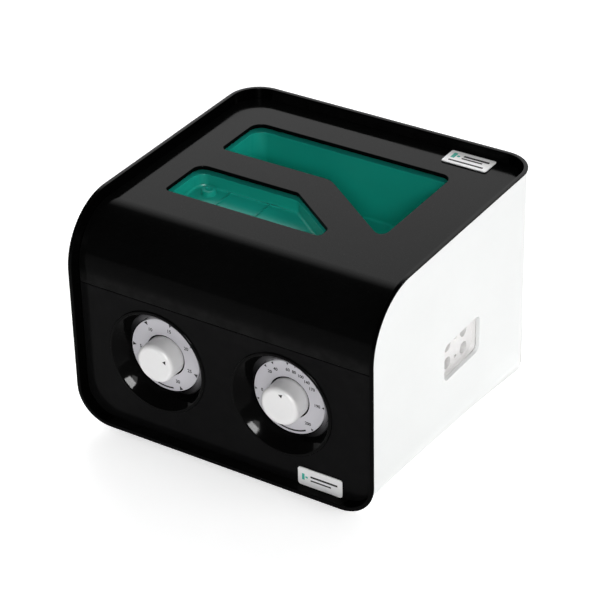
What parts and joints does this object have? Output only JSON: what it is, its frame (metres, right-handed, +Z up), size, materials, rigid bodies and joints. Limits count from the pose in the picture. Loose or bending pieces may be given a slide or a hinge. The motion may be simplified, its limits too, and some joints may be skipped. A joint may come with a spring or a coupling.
{
  "type": "air compression therapy pump",
  "caption": "Tabletop compression pump: bent black fascia with timer and pressure dials, carrying strip over teal storage pockets, white case, side hose socket.",
  "frame": {"origin": "middle of the object's box, on the table under the feet", "axes": "+X to the right seen from the front, +Y from front to back, +Z up"},
  "size_m": [0.24, 0.224, 0.169],
  "materials": {
    "gloss_black": "black polished ABS",
    "satin_black": "black satin ABS",
    "white_case": "white fine-textured ABS",
    "white_knob": "white moulded knob, semi-gloss",
    "scale_grey": "pale grey printed scale",
    "teal_tray": "teal moulded ABS, satin",
    "label_white": "white plastic plate with plain bars",
    "foot_rubber": "black rubber",
    "works_rubber": "black rubber",
    "steel": "zinc-plated steel",
    "aluminium": "raw aluminium",
    "brass": "machined brass",
    "copper": "enamelled copper winding",
    "nylon": "natural nylon",
    "clear_hose": "milky silicone hose"
  },
  "bodies": {
    "case_body": {"base_plate": "steel", "base_screw_front_left": "steel", "base_screw_front_right": "steel", "base_screw_rear_left": "steel", "base_screw_rear_right": "steel", "coil_front": "copper", "coil_rear": "copper", "control_panel": "satin_black", "feed_hose": "clear_hose", "foot_front_left": "foot_rubber", "foot_front_right": "foot_rubber", "foot_rear_left": "foot_rubber", "foot_rear_right": "foot_rubber", "front_label": "label_white", "fuse_cap": "satin_black", "fuse_holder": "satin_black", "hose_socket": "white_case", "housing": "white_case", "inlet_pin_earth": "brass", "inlet_pin_line": "brass", "inlet_pin_neutral": "brass", "mains_inlet": "satin_black", "port_hose_1": "clear_hose", "port_hose_2": "clear_hose", "port_hose_3": "clear_hose", "port_hose_4": "clear_hose", "pressure_bezel": "gloss_black", "pressure_regulator": "brass", "pressure_scale": "scale_grey", "pump_frame": "aluminium", "pump_head_left": "nylon", "pump_head_right": "nylon", "pump_mount_front_left": "works_rubber", "pump_mount_front_right": "works_rubber", "pump_mount_rear_left": "works_rubber", "pump_mount_rear_right": "works_rubber", "rim_frame": "gloss_black", "stator_front": "steel", "stator_rear": "steel", "storage_tray": "teal_tray", "switch_frame": "satin_black", "timer_bezel": "gloss_black", "timer_clockwork": "aluminium", "timer_scale": "scale_grey", "top_label": "label_white", "upper_panel": "satin_black", "valve_body": "nylon", "valve_cover": "nylon", "valve_motor": "steel"},
    "timer_dial_body": {"timer_knob": "white_knob", "timer_shaft": "steel"},
    "pressure_dial_body": {"pressure_knob": "white_knob", "pressure_shaft": "steel"},
    "rocker_body": {"power_rocker": "gloss_black"},
    "shuttle_body": {"armature": "steel", "diaphragm_left": "works_rubber", "diaphragm_right": "works_rubber"},
    "rotor_body": {"valve_rotor": "nylon"}
  },
  "joints": [
    {"name": "timer_turn", "type": "hinge", "parent": "case_body", "child": "timer_dial_body", "pos_m": [-0.0555, -0.104, 0.0667], "axis": [0, -1, 0], "range_deg": [-90, 198]},
    {"name": "pressure_turn", "type": "hinge", "parent": "case_body", "child": "pressure_dial_body", "pos_m": [0.0445, -0.104, 0.0667], "axis": [0, -1, 0], "range_deg": [-126, 123]},
    {"name": "rocker_tilt", "type": "hinge", "parent": "case_body", "child": "rocker_body", "pos_m": [-0.034, 0.1027, 0.044], "axis": [1, 0, 0], "range_deg": [0, 12]},
    {"name": "shuttle_slide", "type": "slide", "parent": "case_body", "child": "shuttle_body", "axis": [1, 0, 0], "range_m": [-0.0015, 0.0015], "stiffness_N_per_m": 3000},
    {"name": "rotor_spin", "type": "hinge", "parent": "case_body", "child": "rotor_body", "pos_m": [0.066, 0.008, 0.04], "axis": [0, 0, 1], "continuous": true}
  ]
}
